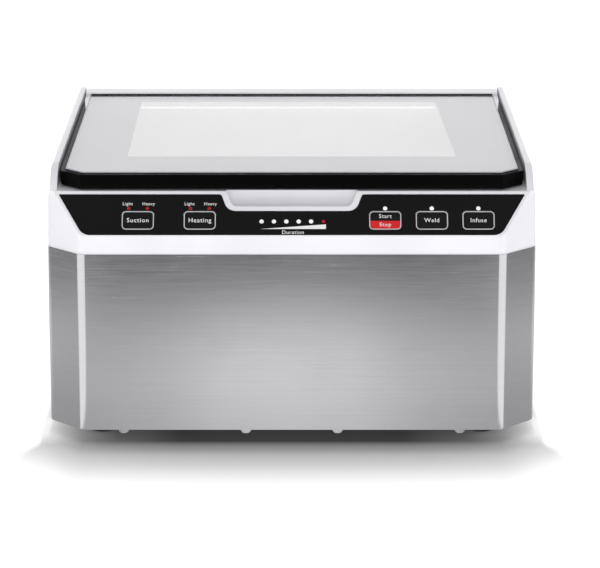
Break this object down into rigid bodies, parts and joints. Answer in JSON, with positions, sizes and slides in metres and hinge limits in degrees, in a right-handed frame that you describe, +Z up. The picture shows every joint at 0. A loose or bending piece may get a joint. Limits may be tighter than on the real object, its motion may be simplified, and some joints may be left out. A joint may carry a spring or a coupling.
{
  "type": "chamber vacuum sealer",
  "caption": "Countertop chamber vacuum sealer: steel box with cut front corners, sloping key panel and a clear hinged lid over a sealed chamber.",
  "frame": {"origin": "on the counter, in the middle of the overall box's underside", "axes": "+X to the right across the front, +Y from the front to the back, +Z up"},
  "size_m": [0.35, 0.335, 0.1948],
  "materials": {
    "brushed_steel": "fine brushed",
    "sheet_steel": "plain sheet",
    "white_housing": "satin gloss",
    "black_film": "smooth gloss",
    "black_frame": "gloss",
    "clear_lamp": "frosted",
    "red_lamp": "frosted",
    "lid_glass": "polished",
    "black_rubber": "matt",
    "grey_silicone": "matt",
    "red_silicone": "matt",
    "black_plastic": "fine grain",
    "heater_tape": "woven tape",
    "aluminium": "machined",
    "cast_aluminium": "cast",
    "polished_steel": "polished",
    "screw_steel": "bright",
    "brass": "plain",
    "circuit_board": "solder mask",
    "components": "moulded",
    "laminated_iron": "laminated",
    "copper_winding": "wound wire",
    "painted_shell": "satin paint"
  },
  "bodies": {
    "base": {"steel_wrap": "brushed_steel", "base_plate": "sheet_steel", "rear_cover": "sheet_steel", "top_housing": "white_housing", "rubber_feet": "black_rubber", "foot_screws": "screw_steel", "flange_screws": "screw_steel", "control_overlay": "black_film", "clear_lamps": "clear_lamp", "red_lamps": "red_lamp", "control_board": "circuit_board", "tact_switches": "components", "chamber_tub": "polished_steel", "chamber_gasket": "grey_silicone", "lift_cylinders": "aluminium", "suction_port": "black_plastic", "hinge_pins": "polished_steel", "hinge_springs": "screw_steel", "lid_sensor": "black_plastic", "motor_shell": "painted_shell", "motor_stator": "laminated_iron", "pump_bearings": "polished_steel", "pump_crankcases": "cast_aluminium", "pump_cylinders": "aluminium", "pump_pistons": "cast_aluminium", "pump_heads": "cast_aluminium", "pump_mounts": "black_rubber", "transformer_core": "laminated_iron", "transformer_winding": "copper_winding", "power_board": "circuit_board", "board_components": "components", "board_standoffs": "brass", "valve_manifold": "aluminium", "solenoid_coils": "black_plastic", "pressure_sensor": "black_plastic", "vacuum_hose": "black_rubber", "seal_air_hose": "black_rubber", "cooling_fan_frame": "black_plastic", "power_inlet": "black_plastic", "inlet_pins": "brass", "switch_bezel": "black_plastic", "rear_screws": "screw_steel"},
    "lid": {"lid_frame": "black_frame", "lid_glass": "lid_glass", "lid_hinge_bar": "white_housing", "counter_bar": "red_silicone", "lid_magnet": "polished_steel"},
    "seal_bar_lift": {"seal_bar": "aluminium", "heating_element": "heater_tape", "lift_pins": "polished_steel"},
    "rocker": {"power_rocker": "black_plastic"},
    "pump_crank": {"pump_crankshaft": "polished_steel", "pump_fan": "black_plastic"},
    "fan_rotor": {"cooling_fan_rotor": "black_plastic"},
    "key_left_outer": {"key_left_outer": "black_film"},
    "key_left_inner": {"key_left_inner": "black_film"},
    "key_right_inner": {"key_right_inner": "black_film"},
    "key_right_middle": {"key_right_middle": "black_film"},
    "key_right_outer": {"key_right_outer": "black_film"}
  },
  "joints": [
    {"name": "lid_hinge", "type": "hinge", "parent": "base", "child": "lid", "pos_m": [0, 0.151, 0.1828], "axis": [-1, 0, 0], "range_deg": [0, 65]},
    {"name": "seal_bar_slide", "type": "slide", "parent": "base", "child": "seal_bar_lift", "axis": [0, 0, 1], "range_m": [0, 0.006]},
    {"name": "rocker_tilt", "type": "hinge", "parent": "base", "child": "rocker", "pos_m": [-0.062, 0.1635, 0.05], "axis": [-1, 0, 0], "range_deg": [0, 16]},
    {"name": "pump_spin", "type": "hinge", "parent": "base", "child": "pump_crank", "pos_m": [0, -0.0455, 0.057], "axis": [1, 0, 0], "continuous": true},
    {"name": "fan_spin", "type": "hinge", "parent": "base", "child": "fan_rotor", "pos_m": [0.092, 0.1525, 0.05], "axis": [0, 1, 0], "continuous": true},
    {"name": "press_left_outer", "type": "slide", "parent": "base", "child": "key_left_outer", "axis": [0, 0.8225, -0.5688], "range_m": [0, 0.0004], "stiffness_N_per_m": 1500, "springref_m": -0.0004},
    {"name": "press_left_inner", "type": "slide", "parent": "base", "child": "key_left_inner", "axis": [0, 0.8225, -0.5688], "range_m": [0, 0.0004], "stiffness_N_per_m": 1500, "springref_m": -0.0004},
    {"name": "press_right_inner", "type": "slide", "parent": "base", "child": "key_right_inner", "axis": [0, 0.8225, -0.5688], "range_m": [0, 0.0004], "stiffness_N_per_m": 1500, "springref_m": -0.0004},
    {"name": "press_right_middle", "type": "slide", "parent": "base", "child": "key_right_middle", "axis": [0, 0.8225, -0.5688], "range_m": [0, 0.0004], "stiffness_N_per_m": 1500, "springref_m": -0.0004},
    {"name": "press_right_outer", "type": "slide", "parent": "base", "child": "key_right_outer", "axis": [0, 0.8225, -0.5688], "range_m": [0, 0.0004], "stiffness_N_per_m": 1500, "springref_m": -0.0004}
  ]
}
